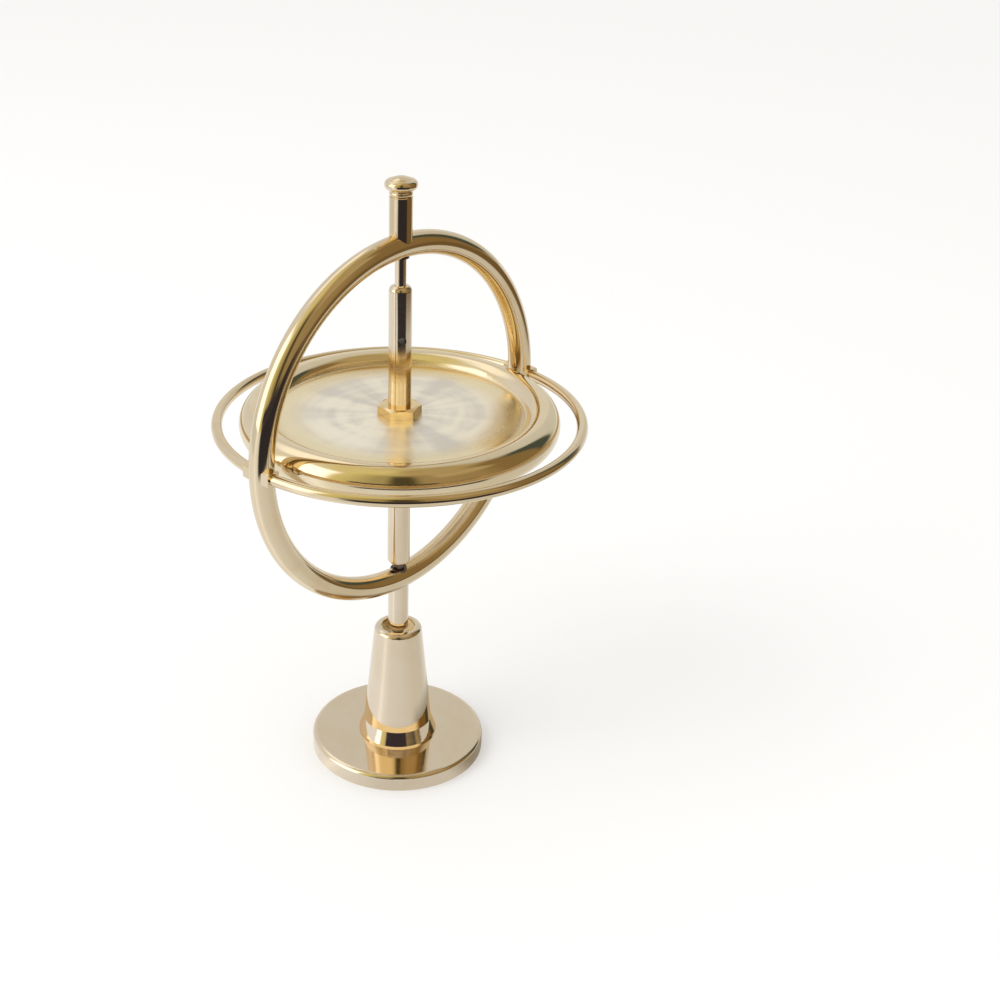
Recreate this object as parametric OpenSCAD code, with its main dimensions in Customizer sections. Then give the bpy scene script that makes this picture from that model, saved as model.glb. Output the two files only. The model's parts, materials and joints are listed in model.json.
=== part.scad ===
// Toy gyroscope standing on its pedestal.
// Z points up, the origin is the centre of the pedestal's flat underside.
// The meridian ring lies in the XZ plane, the equator ring in a level plane.

/* [Base disc] */
// Diameter of the base disc
base_d = 31; // [26:0.1:44]
// Thickness of the base disc
base_t = 2.9; // [2:0.1:4]
// Rounding of the base disc's upper edge
base_edge_r = 0.8; // [0.2:0.1:1.2]

/* [Pedestal] */
// Height of the pedestal's lip above the table
stand_h = 24.6; // [20:0.1:34]
// Diameter of the foot where it stands on the disc
foot_d = 14; // [13.4:0.1:17]
// Height of the foot's upright edge
foot_edge_h = 0.3; // [0.2:0.05:1]
// Height of the flare between the foot's edge and the slender cone
flare_h = 2.4; // [1.6:0.05:4]
// Diameter of the slender cone where the flare starts
cone_foot_d = 12.2; // [11:0.1:13]
// Outer diameter of the lip at the mouth
mouth_d = 8.5; // [8.4:0.1:9]
// Rounding of the lip
lip_r = 0.8; // [0.3:0.05:0.85]

/* [Seat cup] */
// Thickness of the pedestal's wall round the cup
lip_wall = 1.3; // [1.1:0.05:1.4]
// Height of the cup
seat_h = 3.4; // [3:0.1:5]
// Drop of the cup's rim below the lip
seat_drop = 0.4; // [0.2:0.05:0.8]
// Thickness of the cup's rim round the dish
dish_wall = 0.15; // [0.1:0.05:0.3]
// Depth of the dish
dish_depth = 1.6; // [1.3:0.05:1.9]

/* [Base screw] */
// Shank diameter of the countersunk screw
screw_d = 3; // [2.5:0.1:3.5]
// Head diameter of the countersunk screw
screw_head_d = 5.6; // [5.2:0.1:6.4]
// Height of the screw's cone head
screw_head_h = 1.5; // [1.2:0.1:1.8]
// Length of the screw over all
screw_len = 11; // [8:0.5:14]
// Width of the screwdriver slot
slot_w = 0.8; // [0.6:0.1:1]
// Depth of the screwdriver slot
slot_depth = 0.7; // [0.5:0.1:0.9]

/* [Gyroscope frame] */
// Outer diameter of the meridian ring
ring_d = 65; // [58:0.5:76]
// Thickness of the meridian ring's round section
meridian_t = 4.1; // [3.7:0.05:4.6]
// How far the equator ring's centre line runs outside the meridian ring's
equator_out = 0.2; // [0:0.05:0.4]
// Thickness of the equator ring's round section
equator_t = 1.9; // [1.6:0.1:2.2]
// Side of the square lugs that carry the equator ring
lug_side = 2.5; // [2.3:0.1:3]
// Chamfer along the lugs' edges
lug_chamfer = 0.3; // [0.1:0.05:0.5]
// Distance from the meridian plane to the end of a lug
lug_reach = 2.9; // [2.8:0.1:4]
// Diameter of the spigots on the ends of the equator ring
spigot_d = 1.1; // [0.9:0.1:1.3]
// Length of those spigots
spigot_len = 0.9; // [0.5:0.1:1]

/* [Top housing and knob] */
// Diameter of the top housing
housing_d = 3.85; // [3.6:0.05:3.95]
// Height of the housing above the ring's outside
housing_h = 6.2; // [5.4:0.1:10]
// Diameter of the knob
knob_d = 5.4; // [4.8:0.1:7]
// Thickness of the knob at its rim
knob_t = 1.7; // [1.4:0.1:2.4]
// Rise of the knob's crown above its rim
crown_h = 0.5; // [0.2:0.05:0.6]
// Height of the bead under the knob
bead_h = 1.1; // [0.9:0.1:1.5]
// Depth of the grooves above and below the bead
groove_depth = 0.15; // [0.1:0.05:0.35]

/* [Lower post] */
// Length of the post from the ring's outside to the ball tip's lowest point
post_len = 9.65; // [8.5:0.05:14]
// Diameter of the lower post
post_d = 3.6; // [3.4:0.05:3.8]
// Diameter of the ball in the post's tip
ball_d = 2.2; // [2:0.1:2.4]
// Height of the post's tapered nose
nose_h = 0.4; // [0.35:0.05:1.4]
// Height of the nose's end above the ball's centre
nose_over = 0.4; // [0.3:0.05:0.7]

/* [Flywheel] */
// Gap between the flywheel and the inside of the meridian ring
wheel_gap = 1.4; // [1.2:0.1:4]
// Thickness of the round rim
rim_t = 6; // [5:0.1:7]
// Thickness of the web
web_t = 2.4; // [1.4:0.1:3]
// Radius of the fillet between web and rim
fillet_r = 0.4; // [0.2:0.1:2.5]

/* [Axle] */
// Diameter of the axle
axle_d = 3.85; // [3.6:0.05:4]
// Diameter of the pins at both ends
pin_d = 1.9; // [1.6:0.1:2.1]
// Length of the thin pin that shows above the axle's thick part
upper_pin_show = 4.6; // [2:0.1:8]
// Length of the thin pin that shows below the axle's thick part
lower_pin_show = 0.9; // [0.6:0.1:6]
// Rounding of the shoulders
shoulder_r = 0.9; // [0.4:0.05:0.95]
// Height of the string hole above the rings' centre
string_z = 14.6; // [8:0.1:18]
// Diameter of the string hole
string_d = 1.4; // [1:0.1:1.8]

/* [Nuts] */
// Width across the flats of the hexagon nuts
nut_flats = 6.5; // [6:0.1:7]
// Height of the hexagon nuts
nut_h = 1.6; // [1.4:0.1:2.6]
// Chamfer of the nuts' corners
nut_chamfer = 0.35; // [0.2:0.05:0.5]

/* [Bearings] */
// Outer diameter of the bearing bushes
bush_d = 2.86; // [2.6:0.02:3]
// Length of the bearing bushes
bush_len = 2; // [1.6:0.1:2.4]
// Diameter of the upper thrust ball
top_ball_d = 2.2; // [2:0.1:2.3]
// Diameter of the lower thrust ball
low_ball_d = 1.8; // [1.6:0.1:2]
// Length of the upper pin beyond its bush
upper_pin_past = 2.45; // [2:0.05:3]
// Length of the lower pin beyond its bush
lower_pin_past = 0.15; // [0.1:0.05:0.4]

/* [Fits] */
// Radial clearance of a piece that is fixed in its hole
fit = 0.01; // [0.005:0.005:0.02]
// Radial clearance of a piece that turns in its hole
running = 0.03; // [0.02:0.005:0.05]
// Gap between a ball and what it bears on
ball_gap = 0.04; // [0.02:0.01:0.06]
// Radial clearance of the screw in the base disc
screw_room = 0.05; // [0.03:0.01:0.1]
// Gap at the seam between a lug and the equator ring
seam = 0.03; // [0.02:0.01:0.05]

/* [Hidden] */
$fn = 96;
eps = 0.01;
past = 1;
head_sink = 0.1;
screw_point = 0.5;
bush_sink = 0.15;
GOLD = [0.86, 0.76, 0.58];
PALE_GOLD = [0.88, 0.82, 0.70];
DEEP_GOLD = [0.80, 0.66, 0.40];
STEEL = [0.72, 0.73, 0.75];
BRONZE = [0.70, 0.52, 0.30];

// Heights of the stand
seat_d = mouth_d - 2 * lip_wall;
dish_d = seat_d - 2 * dish_wall;
seat_rim_z = stand_h - seat_drop;
dish_floor_z = seat_rim_z - dish_depth;
foot_edge_z = base_t + foot_edge_h;
flare_top_z = foot_edge_z + flare_h;
lip_centre_r = mouth_d / 2 - lip_r;
dish_sphere_r = (pow(dish_d / 2, 2) + pow(dish_depth, 2)) / (2 * dish_depth);

// Heights of the gyroscope; levels with the ending _c are counted from the rings' centre
meridian_r = (ring_d - meridian_t) / 2;
ring_in_c = meridian_r - meridian_t / 2;
ring_out_c = ring_d / 2;
tip_to_centre = ring_out_c + post_len;
tip_z = dish_floor_z + ball_gap;
centre_z = tip_z + tip_to_centre;
ball_c = -tip_to_centre + ball_d / 2;
nose_end_r = sqrt(pow(ball_d / 2, 2) - pow(nose_over, 2));
nose_end_c = ball_c + nose_over - eps;
nose_top_c = nose_end_c + nose_h;
spigot_r = bush_d / 2;
bush_start_c = ring_in_c + bush_sink;
bush_end_c = bush_start_c + bush_len;
pin_up = bush_end_c + upper_pin_past;
pin_down = bush_end_c + lower_pin_past;
shoulder_up = ring_in_c - upper_pin_show;
shoulder_down = ring_in_c - lower_pin_show;
socket_r = low_ball_d / 2 + 2 * running;
low_ball_c = -(pin_down + ball_gap + low_ball_d / 2);
socket_floor_c = low_ball_c - low_ball_d / 2 - ball_gap;
top_ball_c = pin_up + ball_gap + top_ball_d / 2;
housing_bore_r = top_ball_d / 2 + 2 * running;
screw_end_c = top_ball_c + top_ball_d / 2 + ball_gap;
housing_top = ring_out_c + housing_h;
head_c = housing_top + bead_h;
bead_c = housing_top + bead_h / 2;

// Lugs and equator ring
equator_r = meridian_r + equator_out;
lug_angle = asin(lug_reach / equator_r);
spigot_angle = 2 * asin(spigot_len / 2 / equator_r);
seam_angle = 2 * asin(seam / 2 / equator_r);

// Rotor
wheel_d = 2 * (ring_in_c - wheel_gap);
wheel_bore_r = axle_d / 2 + fit;
rim_centre_r = (wheel_d - rim_t) / 2;
fillet_c = web_t / 2 + fillet_r;
rim_run = sqrt(pow(rim_t / 2 + fillet_r, 2) - pow(fillet_c, 2));
web_flat_r = rim_centre_r - rim_run;
fillet_share = (rim_t / 2) / (rim_t / 2 + fillet_r);
rim_meet_r = rim_centre_r - rim_run * fillet_share;
nut_turn = 21;
string_turn = 55;

// Places what is drawn about the rings' centre at its height
module at_centre() {
    translate([0, 0, centre_z])
        children();
}

// Cylinder between two levels
module rod(r, from, to) {
    translate([0, 0, min(from, to)])
        cylinder(r = r, h = abs(to - from));
}

// Round bar bent to a circle about Z
module hoop(centre_r, section_r) {
    rotate_extrude()
        translate([centre_r, 0])
            circle(r = section_r);
}

// The meridian ring's round bar, grown by a clearance
module meridian_bar(extra) {
    rotate([90, 0, 0])
        hoop(meridian_r, meridian_t / 2 + extra);
}

// Base disc: turned plate with a rounded upper edge and a countersunk hole
module base_disc() {
    color(PALE_GOLD)
        rotate_extrude()
            difference() {
                union() {
                    square([base_d / 2, base_t - base_edge_r]);
                    square([base_d / 2 - base_edge_r, base_t]);
                    translate([base_d / 2 - base_edge_r, base_t - base_edge_r])
                        circle(r = base_edge_r);
                }
                translate([0, -eps])
                    square([screw_d / 2 + screw_room, base_t + 2 * eps]);
                polygon([
                    [0, -eps],
                    [screw_head_d / 2 + screw_room, -eps],
                    [screw_head_d / 2 + screw_room, 0],
                    [screw_d / 2 + screw_room, screw_head_h],
                    [0, screw_head_h]
                ]);
            }
}

// Pedestal: slender cone with a flared foot, a rounded lip and a counterbored mouth
module pedestal_cone() {
    color(PALE_GOLD)
        rotate_extrude()
            difference() {
                union() {
                    polygon([
                        [0, base_t],
                        [foot_d / 2, base_t],
                        [foot_d / 2, foot_edge_z],
                        [cone_foot_d / 2, flare_top_z],
                        [mouth_d / 2, stand_h - lip_r],
                        [0, stand_h - lip_r]
                    ]);
                    translate([0, base_t])
                        square([lip_centre_r, stand_h - base_t]);
                    translate([lip_centre_r, stand_h - lip_r])
                        circle(r = lip_r);
                }
                square([screw_d / 2 + fit, screw_len + past]);
                translate([0, seat_rim_z - seat_h])
                    square([seat_d / 2 + running, stand_h]);
            }
}

// Countersunk screw that holds the cone on the disc from below
module base_screw() {
    color(STEEL)
        difference() {
            rotate_extrude()
                polygon([
                    [0, head_sink],
                    [screw_head_d / 2 - head_sink, head_sink],
                    [screw_d / 2 - fit, screw_head_h],
                    [screw_d / 2 - fit, screw_len - screw_point],
                    [screw_d / 2 - screw_point, screw_len],
                    [0, screw_len]
                ]);
            translate([-screw_head_d, -slot_w / 2, 0])
                cube([2 * screw_head_d, slot_w, slot_depth]);
        }
}

// Seat cup: hard insert with the spherical dish that the ball tip turns in
module seat_cup() {
    color(DEEP_GOLD)
        difference() {
            rod(seat_d / 2, seat_rim_z - seat_h + ball_gap, seat_rim_z);
            translate([0, 0, dish_floor_z + dish_sphere_r])
                sphere(r = dish_sphere_r);
        }
}

// Ball tip on which the whole gyroscope stands
module pivot_ball() {
    color(STEEL)
        at_centre()
            translate([0, 0, ball_c])
                sphere(r = ball_d / 2);
}

// Lower post: coped to the ring, spigot with the thrust ball's socket, nose round the ball tip
module lower_post() {
    color(PALE_GOLD)
        at_centre()
            difference() {
                union() {
                    difference() {
                        rod(post_d / 2, nose_top_c, -meridian_r);
                        meridian_bar(fit);
                    }
                    translate([0, 0, nose_end_c])
                        cylinder(r1 = nose_end_r, r2 = post_d / 2, h = nose_h);
                    rod(spigot_r, -bush_end_c - ball_gap, nose_top_c + eps);
                }
                rod(socket_r, socket_floor_c, 0);
                translate([0, 0, ball_c])
                    sphere(r = ball_d / 2 + fit);
            }
}

// Square section of a lug with chamfered edges
module lug_section() {
    half = lug_side / 2;
    flat = half - lug_chamfer;
    polygon([
        [half, -flat],
        [half, flat],
        [flat, half],
        [-flat, half],
        [-half, flat],
        [-half, -flat],
        [-flat, -half],
        [flat, -half]
    ]);
}

// Meridian ring: round bar with four lug ends, drilled through at top and bottom
module meridian_ring() {
    color(GOLD)
        at_centre()
            difference() {
                union() {
                    meridian_bar(0);
                    for (side = [0, 180])
                        rotate([0, 0, side - lug_angle])
                            rotate_extrude(angle = 2 * lug_angle)
                                translate([equator_r, 0])
                                    lug_section();
                }
                for (side = [0, 180])
                    for (end = [-lug_angle - past, lug_angle - spigot_angle])
                        rotate([0, 0, side + end])
                            rotate_extrude(angle = spigot_angle + past)
                                translate([equator_r, 0])
                                    circle(r = spigot_d / 2 + fit);
                rod(spigot_r + fit, -meridian_r - meridian_t, -meridian_r + meridian_t);
                rod(spigot_r + fit, meridian_r - meridian_t, meridian_r + meridian_t);
            }
}

// Half of the equator ring: round bar whose thinner ends plug into the lugs
module equator_half() {
    start = lug_angle + seam_angle;
    plug_start = lug_angle - spigot_angle + 2 * seam_angle;
    rotate([0, 0, start])
        rotate_extrude(angle = 180 - 2 * start)
            translate([equator_r, 0])
                circle(r = equator_t / 2);
    rotate([0, 0, plug_start])
        rotate_extrude(angle = 180 - 2 * plug_start)
            translate([equator_r, 0])
                circle(r = spigot_d / 2);
}

module equator_half_back() {
    color(GOLD)
        at_centre()
            equator_half();
}

module equator_half_front() {
    color(GOLD)
        at_centre()
            rotate([0, 0, 180])
                equator_half();
}

// Top housing: tube coped to the ring, with a spigot that fits the ring's hole
module top_housing() {
    color(GOLD)
        at_centre()
            difference() {
                union() {
                    difference() {
                        rod(housing_d / 2, meridian_r, housing_top);
                        meridian_bar(fit);
                    }
                    rod(spigot_r, bush_end_c + ball_gap, meridian_r + meridian_t);
                }
                rod(housing_bore_r, 0, housing_top + past);
            }
}

// Knob: bearing screw with a beaded neck, a full round rim and a low crown
module top_knob() {
    flat_r = knob_d / 2 - knob_t / 2;
    crown_sphere_r = (pow(flat_r, 2) + pow(crown_h, 2)) / (2 * crown_h);
    color(GOLD)
        at_centre()
            rotate_extrude() {
                difference() {
                    union() {
                        translate([0, screw_end_c])
                            square([housing_bore_r - fit, head_c - screw_end_c]);
                        translate([0, housing_top + fit])
                            square([housing_d / 2 - groove_depth, bead_h]);
                        translate([0, head_c])
                            square([flat_r, knob_t]);
                        translate([flat_r, head_c + knob_t / 2])
                            circle(r = knob_t / 2);
                    }
                    translate([-knob_d, -centre_z])
                        square([knob_d, 2 * centre_z]);
                }
                intersection() {
                    translate([0, head_c + knob_t / 2])
                        square([flat_r, knob_t]);
                    translate([0, head_c + knob_t + crown_h - crown_sphere_r])
                        circle(r = crown_sphere_r);
                }
                translate([housing_d / 2 - bead_h / 2 + groove_depth / 2, bead_c])
                    intersection() {
                        circle(r = bead_h / 2 - groove_depth / 2);
                        translate([-housing_d / 4, -bead_h])
                            square([housing_d, 2 * bead_h]);
                    }
            }
}

// Bearing bush pressed into the ring, between two levels
module bush(from, to) {
    difference() {
        rod(spigot_r, from, to);
        rod(pin_d / 2 + running, from - past, to + past);
    }
}

module top_bush() {
    color(BRONZE)
        at_centre()
            bush(bush_start_c, bush_end_c);
}

module lower_bush() {
    color(BRONZE)
        at_centre()
            bush(-bush_end_c, -bush_start_c);
}

// Thrust balls at the ends of the axle's pins
module top_ball() {
    color(STEEL)
        at_centre()
            translate([0, 0, top_ball_c])
                sphere(r = top_ball_d / 2);
}

module lower_ball() {
    color(STEEL)
        at_centre()
            translate([0, 0, low_ball_c])
                sphere(r = low_ball_d / 2);
}

// Flywheel: flat web inside a heavy round rim, with a small fillet between them on both faces
module flywheel() {
    color(PALE_GOLD)
        at_centre()
            rotate_extrude()
                difference() {
                    union() {
                        translate([0, -web_t / 2])
                            square([rim_centre_r, web_t]);
                        fillet_section();
                        mirror([0, 1])
                            fillet_section();
                        translate([rim_centre_r, 0])
                            circle(r = rim_t / 2);
                    }
                    translate([0, -rim_t])
                        square([wheel_bore_r, 2 * rim_t]);
                }
}

// Half section of the fillet between web and rim: a polygon less the fillet's circle
module fillet_section() {
    difference() {
        polygon([
            [web_flat_r, 0],
            [rim_centre_r, 0],
            [rim_meet_r, fillet_c * fillet_share],
            [web_flat_r, fillet_c]
        ]);
        translate([web_flat_r, fillet_c])
            circle(r = fillet_r);
    }
}

// Axle: thick rod with round shoulders, a pin at each end and the cross hole for the string
module axle() {
    color(GOLD)
        at_centre()
            difference() {
                rotate_extrude()
                    difference() {
                        union() {
                            translate([0, -shoulder_down + shoulder_r])
                                square([axle_d / 2, shoulder_up + shoulder_down - 2 * shoulder_r]);
                            translate([0, -shoulder_down])
                                square([axle_d / 2 - shoulder_r, shoulder_up + shoulder_down]);
                            for (level = [shoulder_up - shoulder_r, -shoulder_down + shoulder_r])
                                translate([axle_d / 2 - shoulder_r, level])
                                    circle(r = shoulder_r);
                            translate([0, -pin_down])
                                square([pin_d / 2, pin_up + pin_down]);
                        }
                        translate([-axle_d, -2 * pin_down])
                            square([axle_d, 4 * pin_up]);
                    }
                translate([0, 0, string_z])
                    rotate([0, 0, string_turn])
                        rotate([0, 90, 0])
                            cylinder(r = string_d / 2, h = 2 * axle_d, center = true);
            }
}

// Hexagon nut with chamfered corners, standing on a level
module nut() {
    corner_r = nut_flats / sqrt(3);
    intersection() {
        rotate([0, 0, nut_turn])
            cylinder(r = corner_r, h = nut_h, $fn = 6);
        rotate_extrude()
            polygon([
                [axle_d / 2 + fit, 0],
                [corner_r + eps, 0],
                [corner_r + eps, nut_h - nut_chamfer],
                [nut_flats / 2 - nut_chamfer, nut_h],
                [axle_d / 2 + fit, nut_h]
            ]);
    }
}

module upper_nut() {
    color(GOLD)
        at_centre()
            translate([0, 0, web_t / 2 + fit])
                nut();
}

module lower_nut() {
    color(GOLD)
        at_centre()
            mirror([0, 0, 1])
                translate([0, 0, web_t / 2 + fit])
                    nut();
}

base_disc();
pedestal_cone();
base_screw();
seat_cup();
pivot_ball();
lower_post();
meridian_ring();
equator_half_front();
equator_half_back();
top_housing();
top_knob();
top_bush();
lower_bush();
top_ball();
lower_ball();
flywheel();
axle();
upper_nut();
lower_nut();
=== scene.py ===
"""Gyroscope on its pedestal: polished pale gold with its turning marks, on white paper.

The metal mirrors a room that only reflections see. Walls, window and dark places lie round the
gyroscope by bearing and elevation. A bearing is in degrees: 0 is towards the camera, 90 is to the
right of the picture and -90 to its left."""
import bpy
import bmesh
import json
import math
from mathutils import Matrix, Vector


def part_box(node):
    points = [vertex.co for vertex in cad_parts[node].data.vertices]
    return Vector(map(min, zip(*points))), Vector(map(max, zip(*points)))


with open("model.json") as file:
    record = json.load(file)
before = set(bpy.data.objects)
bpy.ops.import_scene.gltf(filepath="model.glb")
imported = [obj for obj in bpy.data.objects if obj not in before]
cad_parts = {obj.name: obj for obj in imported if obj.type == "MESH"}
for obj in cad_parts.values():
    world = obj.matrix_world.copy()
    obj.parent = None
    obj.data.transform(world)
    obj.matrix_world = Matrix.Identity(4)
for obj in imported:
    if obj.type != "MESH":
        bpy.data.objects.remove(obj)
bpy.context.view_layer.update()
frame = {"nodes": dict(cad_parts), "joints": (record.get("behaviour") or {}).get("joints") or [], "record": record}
nodes = frame["nodes"]

MM = 0.001
FULL_TURN = 360.0


def named(rows, name):
    """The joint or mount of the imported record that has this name."""
    return next(row for row in rows if row["name"] == name)


RINGS_CENTRE = named(frame["joints"], "rotor_spin")["pos_m"][2]
STRING_HOLE = named(frame["record"]["mounts"], "string_hole")
AXLE_SHADE_REACH = 1.01 * MM                   # how far the painted shade reaches up the axle above the lower bush
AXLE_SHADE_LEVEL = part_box("lower_bush")[1].z + AXLE_SHADE_REACH


# ---------------------------------------------------------------- node trees

class Sheet:
    """A node tree with short calls for adding and joining nodes."""

    def __init__(self, tree):
        self.tree = tree
        self.column = 0

    def add(self, kind, **settings):
        node = self.tree.nodes.new(kind)
        self.column += 180
        node.location = (self.column, 0)
        for name, value in settings.items():
            setattr(node, name, value)
        return node

    def join(self, source, target):
        self.tree.links.new(source, target)

    def feed(self, socket, value):
        """A linked output or a plain value goes into the socket."""
        if isinstance(value, bpy.types.NodeSocket):
            self.join(value, socket)
        else:
            socket.default_value = value

    def math(self, operation, first, second=None, clamp=False):
        node = self.add("ShaderNodeMath", operation=operation, use_clamp=clamp)
        self.feed(node.inputs[0], first)
        if second is not None:
            self.feed(node.inputs[1], second)
        return node.outputs[0]

    def vector(self, operation, first, second=None, output="Vector"):
        node = self.add("ShaderNodeVectorMath", operation=operation)
        self.feed(node.inputs[0], first)
        if second is not None:
            self.feed(node.inputs[1], second)
        return node.outputs[output]

    def length(self, vector):
        return self.vector("LENGTH", vector, output="Value")

    def split(self, vector):
        """The x, y and z of a vector."""
        node = self.add("ShaderNodeSeparateXYZ")
        self.feed(node.inputs[0], vector)
        return node.outputs[0], node.outputs[1], node.outputs[2]

    def combine(self, x=0.0, y=0.0, z=0.0):
        node = self.add("ShaderNodeCombineXYZ")
        for place, value in enumerate((x, y, z)):
            self.feed(node.inputs[place], value)
        return node.outputs[0]

    def smooth(self, value, low, high, out_low=0.0, out_high=1.0):
        """Goes softly from out_low to out_high while the value goes from low to high."""
        node = self.add("ShaderNodeMapRange", interpolation_type="SMOOTHSTEP")
        for name, number in (("From Min", low), ("From Max", high),
                             ("To Min", out_low), ("To Max", out_high)):
            self.feed(node.inputs[name], number)
        self.feed(node.inputs["Value"], value)
        return node.outputs["Result"]

    def band(self, value, low, high, soft):
        """One between two limits, with soft edges."""
        return self.math("MULTIPLY", self.smooth(value, low - soft, low + soft),
                         self.smooth(value, high - soft, high + soft, 1.0, 0.0))

    def mix(self, factor, first, second, blend="MIX"):
        """Mixes two colours, each a linked output or a plain red, green and blue."""
        node = self.add("ShaderNodeMix", data_type="RGBA", blend_type=blend)
        colour_sockets = [socket for socket in node.inputs if socket.type == "RGBA"]
        self.feed(node.inputs[0], factor)
        for socket, colour in zip(colour_sockets, (first, second)):
            self.feed(socket, (*colour, 1.0) if isinstance(colour, tuple) else colour)
        return next(socket for socket in node.outputs if socket.type == "RGBA")

    def ramp(self, value, stops):
        node = self.add("ShaderNodeValToRGB")
        strip = node.color_ramp
        while len(strip.elements) < len(stops):
            strip.elements.new(0.5)
        for element, (place, colour) in zip(strip.elements, stops):
            element.position = place
            element.color = (*colour, 1.0)
        self.feed(node.inputs[0], value)
        return node.outputs[0]

    def noise(self, vector, scale, detail, roughness, distortion=0.0):
        node = self.add("ShaderNodeTexNoise")
        self.feed(node.inputs["Vector"], vector)
        node.inputs["Scale"].default_value = scale
        node.inputs["Detail"].default_value = detail
        node.inputs["Roughness"].default_value = roughness
        node.inputs["Distortion"].default_value = distortion
        return node.outputs["Fac"]

    def place_group(self, group, **values):
        """Adds a shared effect, with a value or a linked output for each named input."""
        node = self.add("ShaderNodeGroup")
        node.node_tree = group
        for name, value in values.items():
            self.feed(node.inputs[name], value)
        return node


def new_group(name, inputs, outputs):
    """A node group that takes a vector and the named numbers, and gives the named values."""
    group = bpy.data.node_groups.new(name, "ShaderNodeTree")
    group.interface.new_socket(name="Vector", in_out="INPUT", socket_type="NodeSocketVector")
    for label, value in inputs:
        socket = group.interface.new_socket(name=label, in_out="INPUT",
                                            socket_type="NodeSocketFloat")
        socket.default_value = value
    for label in outputs:
        group.interface.new_socket(name=label, in_out="OUTPUT", socket_type="NodeSocketFloat")
    sheet = Sheet(group)
    return group, sheet, sheet.add("NodeGroupInput"), sheet.add("NodeGroupOutput")


def new_material(name):
    """A material with an empty node tree."""
    material = bpy.data.materials.new(name)
    material.use_nodes = True
    material.node_tree.nodes.clear()
    return material, Sheet(material.node_tree)


# ---------------------------------------------------------------- marks of making and use

LATHE_PITCH = 0.25 * MM                 # from one turning mark to the next
SCRATCH_DEPTH = -0.1                    # as a share of the scratches' strength
HAIR_TURN = (0.4, 0.9, 0.3)             # radians, so that the scratches follow no edge
HAIR_STRETCH = (900.0, 900.0, 9000.0)
HAIR_STARTS = (0.60, 0.75)              # values of noise between which an effect comes in
SMUDGE_STARTS = (0.42, 0.68)
MARK_STARTS = (0.35, 0.65)


def polish_group():
    """Hand-polished plating: slow waviness, hair scratches and faint smudges."""
    group, s, given, out = new_group(
        "polish", inputs=[("Wave", 0.2), ("Scratch", 0.1), ("Smudge", 0.05)],
        outputs=["Height", "Roughness", "Tone"])
    place = given.outputs["Vector"]
    scratch = given.outputs["Scratch"]
    slow = s.noise(place, scale=130.0, detail=2.0, roughness=0.45)
    stretch = s.add("ShaderNodeMapping")
    s.join(place, stretch.inputs["Vector"])
    stretch.inputs["Rotation"].default_value = HAIR_TURN
    stretch.inputs["Scale"].default_value = HAIR_STRETCH
    fine = s.noise(stretch.outputs[0], scale=1.0, detail=3.0, roughness=0.7)
    hair = s.smooth(fine, *HAIR_STARTS)
    cloudy = s.noise(place, scale=85.0, detail=4.0, roughness=0.6, distortion=0.6)
    smudges = s.smooth(cloudy, *SMUDGE_STARTS)
    height = s.math("ADD", s.math("MULTIPLY", slow, given.outputs["Wave"]),
                    s.math("MULTIPLY", hair, s.math("MULTIPLY", scratch, SCRATCH_DEPTH)))
    rough = s.math("ADD", s.math("MULTIPLY", smudges, given.outputs["Smudge"]),
                   s.math("MULTIPLY", hair, scratch))
    s.join(height, out.inputs["Height"])
    s.join(rough, out.inputs["Roughness"])
    s.join(smudges, out.inputs["Tone"])
    return group


def lathe_group():
    """Marks of turning round the upright axis: fine rings that differ in depth."""
    group, s, given, out = new_group(
        "lathe_marks", inputs=[("Pitch", LATHE_PITCH)], outputs=["Height", "Mask"])
    x, y, z = s.split(given.outputs["Vector"])
    across = s.length(s.combine(x, y))
    pitch = given.outputs["Pitch"]
    line = s.combine(s.math("DIVIDE", across, pitch), s.math("DIVIDE", z, pitch))
    marks = s.noise(line, scale=1.0, detail=2.0, roughness=0.6)
    s.join(marks, out.inputs["Height"])
    s.join(s.smooth(marks, *MARK_STARTS), out.inputs["Mask"])
    return group


POLISH = polish_group()
LATHE = lathe_group()


# ---------------------------------------------------------------- what only one finish has

# Painted shade in the string hole's wall, which is also rougher
HOLE_SHADE_TONE = (0.10, 0.085, 0.06)
HOLE_EDGE = (1.02, 1.10)                # where the painted shade and the roughness end, in radii of the hole
HOLE_ROUGHNESS = 0.45
# Painted shade where the axle meets the lower bearing: a dark tone and more roughness
AXLE_SHADE_TONE = (0.15, 0.125, 0.11)
AXLE_SHADE_ROUGHNESS = 0.30
AXLE_SHADE_EDGE = 0.3 * MM

# The web of the wheel: distances from its axis
SATIN_FADES = (14.5 * MM, 19.5 * MM)
OUTER_BAND = (16.5 * MM, 20.4 * MM, 1.2 * MM)       # from, to, softness
CORNER_BAND = (20.6 * MM, 21.5 * MM, 0.3 * MM)
OUTER_TONE = (0.88, 0.79, 0.57)
ARCS_SHARE = 0.4                        # of the streaks; the rest are rays
STREAK_STARTS = (0.38, 0.60)
# The buff's streaks, with their sheen painted in as darker and lighter tones
STREAK_DARK = (0.76, 0.73, 0.71)
STREAK_LIGHT = (1.0, 0.955, 0.86)
STREAK_RELIEF = 9.0
WEB_ROUGHNESS = {"satin": 0.22, "outer": 0.12, "corner": 0.25}


def shade_hole_wall(s, place, hole, colour, rough):
    """The drilled hole's wall: rougher, as the polish never reaches it, and dark with painted shade."""
    radius = hole["dims"]["r_mm"] * MM
    from_centre = s.vector("SUBTRACT", place, hole["pos_m"])
    away = s.length(s.vector("CROSS_PRODUCT", from_centre, hole["axis"]))
    shaded_to, bright_from = HOLE_EDGE
    wall = s.smooth(away, radius * shaded_to, radius * bright_from, 1.0, 0.0)
    return (s.mix(wall, colour, HOLE_SHADE_TONE),
            s.math("MAXIMUM", rough, s.math("MULTIPLY", wall, HOLE_ROUGHNESS)))


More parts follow.
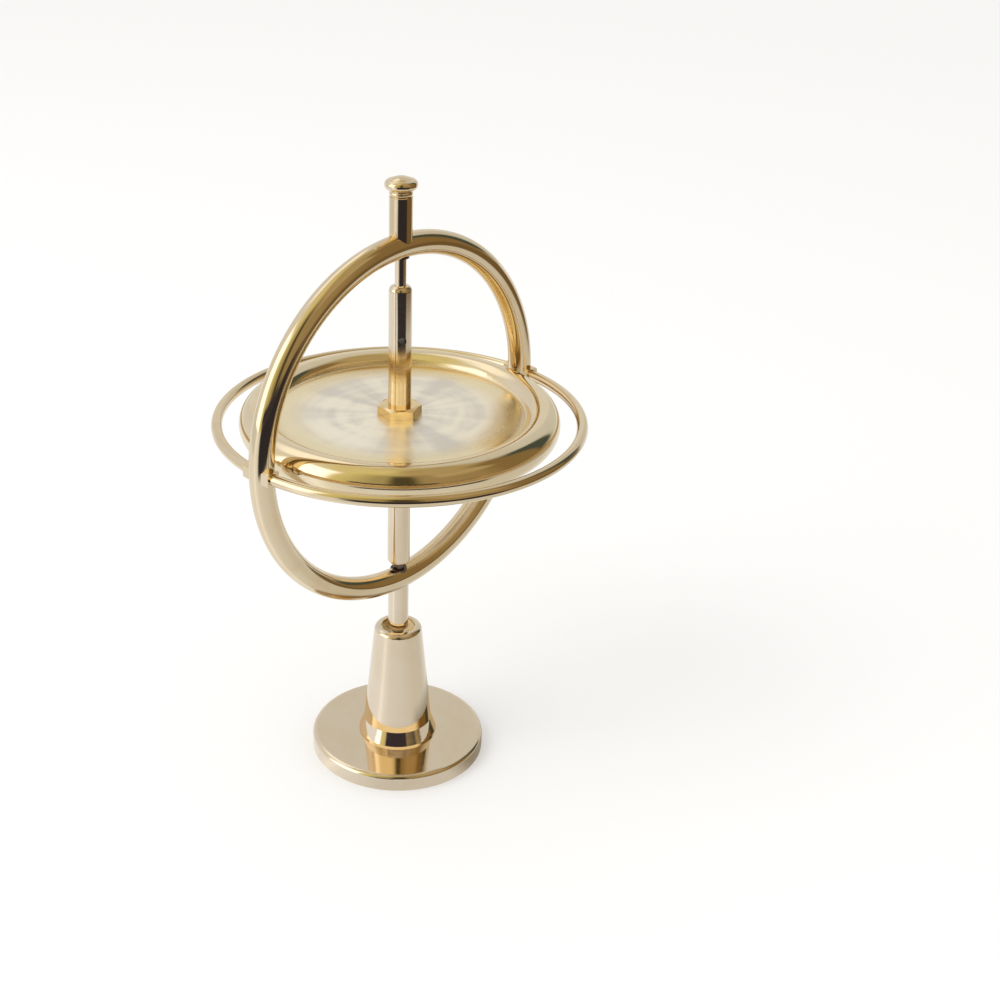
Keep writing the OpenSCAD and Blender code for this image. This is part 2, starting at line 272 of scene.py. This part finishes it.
def paint_axle_shade(s, place, colour, rough):
    """Painted shade at the lower bearing: what lies below the shade level is darker and rougher."""
    height = s.split(place)[2]
    axle_shade = s.smooth(height, AXLE_SHADE_LEVEL, AXLE_SHADE_LEVEL + AXLE_SHADE_EDGE, 1.0, 0.0)
    return (s.mix(axle_shade, colour, AXLE_SHADE_TONE),
            s.math("MAXIMUM", rough, s.math("MULTIPLY", axle_shade, AXLE_SHADE_ROUGHNESS)))


def buff_streaks(s, way, across, turning, rippling):
    """Noise that changes as often round the axis as turning says, and outwards as rippling says."""
    round_axis = s.vector("MULTIPLY", way, (turning, turning, turning))
    outwards = s.combine(z=s.math("MULTIPLY", across, rippling))
    return s.noise(s.vector("ADD", round_axis, outwards), scale=1.0, detail=2.0,
                   roughness=0.5, distortion=0.25)


def polish_web(s, place, colour, rough, height):
    """The wheel's web: satin towards the middle, with the buff's soft streaks and their sheen painted
    in as lighter and darker tone, a brighter band outside it, and dull in the corner at the rim."""
    x, y, _ = s.split(place)
    flat = s.combine(x, y)
    across = s.length(flat)
    way = s.vector("NORMALIZE", flat)
    arcs = buff_streaks(s, way, across, turning=0.9, rippling=330.0)
    rays = buff_streaks(s, way, across, turning=2.4, rippling=18.0)
    streaks = s.math("ADD", s.math("MULTIPLY", arcs, ARCS_SHARE),
                     s.math("MULTIPLY", rays, 1.0 - ARCS_SHARE))
    streak_tone = s.mix(s.smooth(streaks, *STREAK_STARTS), STREAK_DARK, STREAK_LIGHT)
    satin = s.smooth(across, *SATIN_FADES, 1.0, 0.0)
    outer = s.band(across, *OUTER_BAND)
    corner = s.band(across, *CORNER_BAND)
    colour = s.mix(outer, colour, OUTER_TONE)
    colour = s.mix(satin, colour, streak_tone)
    for share, zone in ((satin, "satin"), (outer, "outer"), (corner, "corner")):
        rough = s.math("ADD", rough, s.math("MULTIPLY", share, WEB_ROUGHNESS[zone]))
    relief = s.math("MULTIPLY", streaks, s.math("MULTIPLY", satin, STREAK_RELIEF))
    return colour, rough, s.math("ADD", height, relief)


# ---------------------------------------------------------------- finishes

GOLD = ((0.78, 0.665, 0.50), (0.74, 0.61, 0.43))            # plain, and under a smudge
PALE_GOLD = ((0.79, 0.69, 0.57), (0.76, 0.65, 0.51))
YELLOW_GOLD = ((0.82, 0.66, 0.40), (0.78, 0.60, 0.34))
SEAT_GOLD = ((0.84, 0.73, 0.53), (0.80, 0.68, 0.47))
WHEEL_GOLD = ((0.81, 0.70, 0.52), (0.78, 0.66, 0.47))
STEEL = ((0.62, 0.62, 0.63), (0.55, 0.55, 0.57))
# Oiled bronze of the bushes, painted much darker as the shade at the bearings
OILED_BRONZE_IN_SHADE = ((0.13, 0.10, 0.085), (0.09, 0.07, 0.06))

SMUDGE = 0.05
LATHE_ROUGHNESS = 0.3                   # as a share of the turning marks' strength
RELIEF_STRENGTH = 0.15
RELIEF_DEPTH = 0.2 * MM


def metal(name, tones, roughness, wave=0.25, scratch=0.08, lathe=0.0, pitch=LATHE_PITCH,
          drilled=False, axle_shaded=False, web=False):
    """A plated or bare metal with its polish, smudges and, where turned, its turning marks."""
    material, s = new_material(name)
    place = s.add("ShaderNodeTexCoord").outputs["Object"]
    polish = s.place_group(POLISH, Vector=place, Wave=wave, Scratch=scratch, Smudge=SMUDGE)
    height = polish.outputs["Height"]
    rough = s.math("ADD", polish.outputs["Roughness"], roughness, clamp=True)
    colour = s.mix(polish.outputs["Tone"], *tones)
    if lathe:
        marks = s.place_group(LATHE, Vector=place, Pitch=pitch)
        height = s.math("ADD", height, s.math("MULTIPLY", marks.outputs["Height"], lathe))
        rough = s.math("ADD", rough, s.math("MULTIPLY", marks.outputs["Mask"],
                                            LATHE_ROUGHNESS * lathe))
    if drilled:
        colour, rough = shade_hole_wall(s, place, STRING_HOLE, colour, rough)
    # painted shade on the axle at the lower bearing
    if axle_shaded:
        colour, rough = paint_axle_shade(s, place, colour, rough)
    if web:
        colour, rough, height = polish_web(s, place, colour, rough, height)
    relief = s.add("ShaderNodeBump")
    relief.inputs["Strength"].default_value = RELIEF_STRENGTH
    relief.inputs["Distance"].default_value = RELIEF_DEPTH
    s.join(height, relief.inputs["Height"])
    shader = s.add("ShaderNodeBsdfPrincipled")
    shader.inputs["Metallic"].default_value = 1.0
    s.join(colour, shader.inputs["Base Color"])
    s.join(rough, shader.inputs["Roughness"])
    s.join(relief.outputs[0], shader.inputs["Normal"])
    s.join(shader.outputs[0], s.add("ShaderNodeOutputMaterial").inputs["Surface"])
    return material


ring_gold = metal("ring_gold", GOLD, 0.075, wave=0.3, scratch=0.06)
rod_gold = metal("rod_gold", GOLD, 0.06, wave=0.12, scratch=0.05, lathe=0.05)
axle_gold = metal("axle_gold", PALE_GOLD, 0.09, wave=0.12, scratch=0.05, lathe=0.05,
                  drilled=True, axle_shaded=True)
nut_gold = metal("nut_gold", YELLOW_GOLD, 0.06, wave=0.2)
post_gold = metal("post_gold", PALE_GOLD, 0.05, wave=0.1, lathe=0.05)
cone_gold = metal("cone_gold", PALE_GOLD, 0.05, wave=0.12, lathe=0.06)
disc_gold = metal("disc_gold", PALE_GOLD, 0.07, wave=0.15, lathe=0.10)
seat_gold = metal("seat_gold", SEAT_GOLD, 0.30, wave=0.1, lathe=0.12)
wheel_gold = metal("wheel_gold", WHEEL_GOLD, 0.07, scratch=0.03, lathe=0.05, pitch=0.4 * MM,
                   web=True)
bearing_steel = metal("bearing_steel", STEEL, 0.08)
# the bushes' bronze, darkened with painted shade at the bearings
oiled_bronze_shaded = metal("oiled_bronze_shaded", OILED_BRONZE_IN_SHADE, 0.38, lathe=0.1)

FINISHES = {
    "base_disc": disc_gold, "pedestal_cone": cone_gold, "base_screw": bearing_steel,
    "seat_cup": seat_gold, "pivot_ball": bearing_steel, "lower_post": post_gold,
    "meridian_ring": ring_gold, "equator_half_front": ring_gold,
    "equator_half_back": ring_gold, "top_housing": rod_gold, "top_knob": rod_gold,
    "top_bush": oiled_bronze_shaded, "lower_bush": oiled_bronze_shaded, "top_ball": bearing_steel,
    "lower_ball": bearing_steel, "flywheel": wheel_gold, "axle": axle_gold,
    "upper_nut": nut_gold, "lower_nut": nut_gold,
}
for node_name, finish in FINISHES.items():
    slots = nodes[node_name].data.materials
    for index in range(len(slots)):
        slots[index] = finish
    if not len(slots):
        slots.append(finish)


# ---------------------------------------------------------------- what the metal mirrors

CAMERA_AZIMUTH = math.radians(-45.003)
TOWARDS_CAMERA = Vector((math.sin(CAMERA_AZIMUTH), -math.cos(CAMERA_AZIMUTH), 0.0))
TO_THE_RIGHT = Vector((math.cos(CAMERA_AZIMUTH), math.sin(CAMERA_AZIMUTH), 0.0))

# Colours by bearing, from straight behind over the left, the front and the right
WALL_COLOURS = (
    (-180, (0.72, 0.70, 0.62)), (-125, (0.84, 0.82, 0.82)), (-95, (0.85, 0.80, 0.62)),
    (-42, (0.76, 0.66, 0.28)), (-18, (0.44, 0.37, 0.16)), (18, (0.39, 0.29, 0.13)),
    (60, (0.38, 0.27, 0.12)), (78, (0.27, 0.18, 0.07)), (114, (0.27, 0.18, 0.07)),
    (136, (0.68, 0.67, 0.60)), (180, (0.72, 0.70, 0.62)),
)
CEILING_COLOURS = (
    (-180, (0.66, 0.56, 0.28)), (-120, (0.78, 0.68, 0.34)), (-30, (0.78, 0.68, 0.30)),
    (15, (0.50, 0.39, 0.18)), (150, (0.48, 0.37, 0.18)), (180, (0.66, 0.56, 0.28)),
)
PAPER_COLOURS = (
    (-180, (0.92, 0.92, 0.88)), (-125, (0.97, 0.97, 0.93)), (-85, (0.95, 0.94, 0.90)),
    (-68, (0.97, 0.96, 0.93)), (-57, (1.14, 1.12, 1.05)), (-46, (0.95, 0.94, 0.88)),
    (-28, (0.84, 0.83, 0.77)), (20, (0.78, 0.76, 0.69)), (60, (0.72, 0.68, 0.58)),
    (100, (0.70, 0.68, 0.60)), (135, (0.86, 0.85, 0.80)), (180, (0.92, 0.92, 0.88)),
)
CEILING_STARTS = (56, 70)               # elevations between which the walls become ceiling

# What stands before the walls: bearings, elevations, softness of sides and of levels, colour.
# The bright wall behind is two rows, because bearings end at 180.
SURROUNDINGS = (
    ("window", (-94, -50), (-20, 48), 4, 4, (1.75, 1.70, 1.60)),
    ("skylight", (-172, -112), (42, 62), 4, 4, (1.25, 1.20, 1.08)),
    ("lit_wall_right", (30, 82), (40, 62), 5, 5, (0.52, 0.40, 0.20)),
    ("dark_screen_in_front", (-7, 13), (8, 57), 5, 5, (0.09, 0.07, 0.03)),
    ("dark_table_front", (-26, 54), (-90, 4), 4, 4, (0.045, 0.042, 0.045)),
    ("dark_table_edge", (-34, 26), (1, 10), 3, 3, (0.045, 0.035, 0.042)),
    ("curtain", (111, 130), (4, 50), 3, 3, (0.075, 0.09, 0.07)),
    ("bright_wall_behind_left", (-210, -158), (8, 30), 3, 3, (0.82, 0.79, 0.71)),
    ("bright_wall_behind_right", (160, 210), (8, 30), 3, 3, (0.82, 0.79, 0.71)),
)

# The same for what one piece mirrors of another: a glow covers most of the dark front
SECOND_REFLECTIONS = (
    ("high_glow", (-75, -12), (30, 68), 12, 4, (1.08, 1.00, 0.68)),
    ("low_glow", (-75, 70), (5, 40), 12, 4, (1.28, 1.26, 1.02)),
)
SECOND_REFLECTION_TINT = (1.0, 0.88, 0.66)
ONE_REFLECTION = 1.5                    # Light Path counts one mirror as 1 and two as 2

# Shades on the paper. An inner one fades out between its two distances in mm, an outer one
# fades in. Then come its bearings, their softness and the colour.
INNER = (1.0, 0.0)
OUTER = (0.0, 1.0)
PAPER_SHADES = (
    ("near_front", INNER, (18, 26), (-18, 100), 14, (0.72, 0.69, 0.62)),
    ("near_right", INNER, (18, 30), (52, 165), 14, (0.34, 0.31, 0.25)),
    ("far_left", OUTER, (260, 340), (-130, -66), 8, (0.76, 0.75, 0.68)),
    ("wood_at_the_right", OUTER, (190, 260), (50, 126), 5, (0.19, 0.12, 0.045)),
    ("dark_table_in_front", OUTER, (150, 180), (-30, 60), 7, (0.035, 0.030, 0.034)),
)


def turn_share(degrees):
    """A bearing as a share of a full turn, counted from straight behind."""
    return (degrees + 180.0) / FULL_TURN


def height_share(degrees):
    """An elevation as the height of a unit direction."""
    return math.sin(math.radians(degrees))


def bearing_of(s, vector):
    """The bearing of a direction or a place, as a share of a full turn."""
    forward = s.vector("DOT_PRODUCT", vector, TOWARDS_CAMERA, output="Value")
    sideways = s.vector("DOT_PRODUCT", vector, TO_THE_RIGHT, output="Value")
    angle = s.math("ARCTAN2", sideways, forward)
    return s.math("ADD", s.math("DIVIDE", angle, 2.0 * math.pi), 0.5)


def colour_by_bearing(s, bearing, colours):
    return s.ramp(bearing, [(turn_share(degrees), colour) for degrees, colour in colours])


def sector(s, bearing, sides, softness):
    """One between two bearings in degrees."""
    return s.band(bearing, turn_share(sides[0]), turn_share(sides[1]), softness / FULL_TURN)


def patch(s, bearing, rise, sides, levels, soft_sides, soft_levels):
    """One in a part of the room between two bearings and two elevations in degrees."""
    upward = s.band(rise, height_share(levels[0]), height_share(levels[1]),
                    height_share(soft_levels))
    return s.math("MULTIPLY", sector(s, bearing, sides, soft_sides), upward)


def room():
    """The world: pale walls behind, warm ones at the right, a window at the left, a dark front
    and a plain white for the camera. From the second reflection on, it has a warm tint and a
    glow in front."""
    white_for_camera = (0.955, 0.955, 0.955)
    light_on_paper = (0.92, 0.91, 0.89)
    world = bpy.data.worlds.new("room")
    bpy.context.scene.world = world
    world.use_nodes = True
    world.node_tree.nodes.clear()
    s = Sheet(world.node_tree)
    direction = s.add("ShaderNodeTexCoord").outputs["Generated"]
    bearing = bearing_of(s, direction)
    rise = s.split(direction)[2]
    above = s.smooth(rise, *(height_share(degrees) for degrees in CEILING_STARTS))
    around = s.mix(above, colour_by_bearing(s, bearing, WALL_COLOURS),
                   colour_by_bearing(s, bearing, CEILING_COLOURS))
    for _, *extent, colour in SURROUNDINGS:
        around = s.mix(patch(s, bearing, rise, *extent), around, colour)
    path = s.add("ShaderNodeLightPath")
    again = s.math("GREATER_THAN", path.outputs["Glossy Depth"], ONE_REFLECTION)
    for _, *extent, colour in SECOND_REFLECTIONS:
        glow = s.math("MULTIPLY", patch(s, bearing, rise, *extent), again)
        around = s.mix(glow, around, colour)
    around = s.mix(again, around, SECOND_REFLECTION_TINT, "MULTIPLY")
    lit = s.mix(path.outputs["Is Camera Ray"], around, white_for_camera)
    lit = s.mix(path.outputs["Is Diffuse Ray"], lit, light_on_paper)
    background = s.add("ShaderNodeBackground")
    s.join(lit, background.inputs["Color"])
    s.join(background.outputs[0], s.add("ShaderNodeOutputWorld").inputs["Surface"])


def paper_in_reflections(s):
    """The paper as the metal shows it: bright at the left, with shades near the base, and
    ending in front and at the right, where the dark table and the wood begin."""
    fibre_tone, fibre_share = (0.70, 0.68, 0.64), 0.06
    place = s.add("ShaderNodeTexCoord").outputs["Object"]
    bearing = bearing_of(s, place)
    away = s.length(place)
    seen = colour_by_bearing(s, bearing, PAPER_COLOURS)
    fibre = s.noise(place, scale=900.0, detail=3.0, roughness=0.6)
    seen = s.mix(s.math("MULTIPLY", fibre, fibre_share), seen, fibre_tone)
    for _, strength, (start, end), sides, softness, colour in PAPER_SHADES:
        shade = s.math("MULTIPLY", s.smooth(away, start * MM, end * MM, *strength),
                       sector(s, bearing, sides, softness))
        seen = s.mix(shade, seen, colour)
    emission = s.add("ShaderNodeEmission")
    s.join(seen, emission.inputs["Color"])
    return emission.outputs[0]


def floor():
    """A large sheet of white paper that glows a little, so that it stays white and keeps a
    faint shadow."""
    half_size = 3.0
    paper_white = (0.74, 0.74, 0.74, 1.0)
    paper_glow = 0.22
    sheet = bmesh.new()
    bmesh.ops.create_grid(sheet, x_segments=1, y_segments=1, size=half_size)
    mesh = bpy.data.meshes.new("paper")
    sheet.to_mesh(mesh)
    sheet.free()
    paper = bpy.data.objects.new("paper", mesh)
    bpy.context.scene.collection.objects.link(paper)
    material, s = new_material("white_paper")
    mesh.materials.append(material)
    plain = s.add("ShaderNodeBsdfDiffuse")
    plain.inputs["Color"].default_value = paper_white
    glow = s.add("ShaderNodeEmission")
    glow.inputs["Color"].default_value = (1.0, 1.0, 1.0, 1.0)
    glow.inputs["Strength"].default_value = paper_glow
    bright = s.add("ShaderNodeAddShader")
    s.join(plain.outputs[0], bright.inputs[0])
    s.join(glow.outputs[0], bright.inputs[1])
    pick = s.add("ShaderNodeMixShader")
    s.join(s.add("ShaderNodeLightPath").outputs["Is Glossy Ray"], pick.inputs[0])
    s.join(bright.outputs[0], pick.inputs[1])
    s.join(paper_in_reflections(s), pick.inputs[2])
    s.join(pick.outputs[0], s.add("ShaderNodeOutputMaterial").inputs["Surface"])


# ---------------------------------------------------------------- lamp and camera

# The camera, fitted to the rings, the base, the knob and the axle in the photograph
SENSOR_WIDTH = 36.0                     # mm
FOCAL_LENGTH = 59.4                     # mm
FRAME_SHIFT = (0.1005, -0.07)           # shares of the frame's width
CAMERA_PITCH = 0.42736                  # radians, looking down
CAMERA_ROLL = 0.00695                   # radians
CAMERA_AWAY = 0.253576                  # metres from the rings' axis
CAMERA_HEIGHT = 0.178222                # metres above the paper
CLIPPED_BEFORE, CLIPPED_BEYOND = 0.01, 20.0


def lamp(name, bearing, elevation, distance, size, watts):
    """A soft square lamp that points at the rings' centre and isn't seen in the metal."""
    light = bpy.data.lights.new(name, "AREA")
    light.shape = "SQUARE"
    light.size = size
    light.energy = watts
    turn, rise = math.radians(bearing), math.radians(elevation)
    level = TOWARDS_CAMERA * math.cos(turn) + TO_THE_RIGHT * math.sin(turn)
    way = level * math.cos(rise) + Vector((0.0, 0.0, math.sin(rise)))
    target = Vector((0.0, 0.0, RINGS_CENTRE))
    holder = bpy.data.objects.new(name, light)
    holder.matrix_world = (Matrix.Translation(target + way * distance)
                           @ way.to_track_quat("Z", "Y").to_matrix().to_4x4())
    holder.visible_camera = False
    holder.visible_glossy = False
    bpy.context.scene.collection.objects.link(holder)


def camera():
    """The camera looks down by 24.5 degrees, and stands 45 degrees from the upright ring's plane."""
    lens = bpy.data.cameras.new("camera")
    lens.sensor_width = SENSOR_WIDTH
    lens.lens = FOCAL_LENGTH
    lens.shift_x, lens.shift_y = FRAME_SHIFT
    lens.clip_start = CLIPPED_BEFORE
    lens.clip_end = CLIPPED_BEYOND
    back = TOWARDS_CAMERA * math.cos(CAMERA_PITCH) + Vector((0.0, 0.0, math.sin(CAMERA_PITCH)))
    up = back.cross(TO_THE_RIGHT)
    side = TO_THE_RIGHT * math.cos(CAMERA_ROLL) + up * math.sin(CAMERA_ROLL)
    lift = up * math.cos(CAMERA_ROLL) - TO_THE_RIGHT * math.sin(CAMERA_ROLL)
    turned = Matrix((side, lift, back)).transposed().to_4x4()
    spot = TOWARDS_CAMERA * CAMERA_AWAY + Vector((0.0, 0.0, CAMERA_HEIGHT))
    holder = bpy.data.objects.new("camera", lens)
    holder.matrix_world = Matrix.Translation(spot) @ turned
    bpy.context.scene.collection.objects.link(holder)
    bpy.context.scene.camera = holder


camera()
room()
floor()
lamp("window", bearing=-62.0, elevation=38.0, distance=0.7, size=0.5, watts=2.0)
bpy.context.scene.view_settings.view_transform = "Standard"
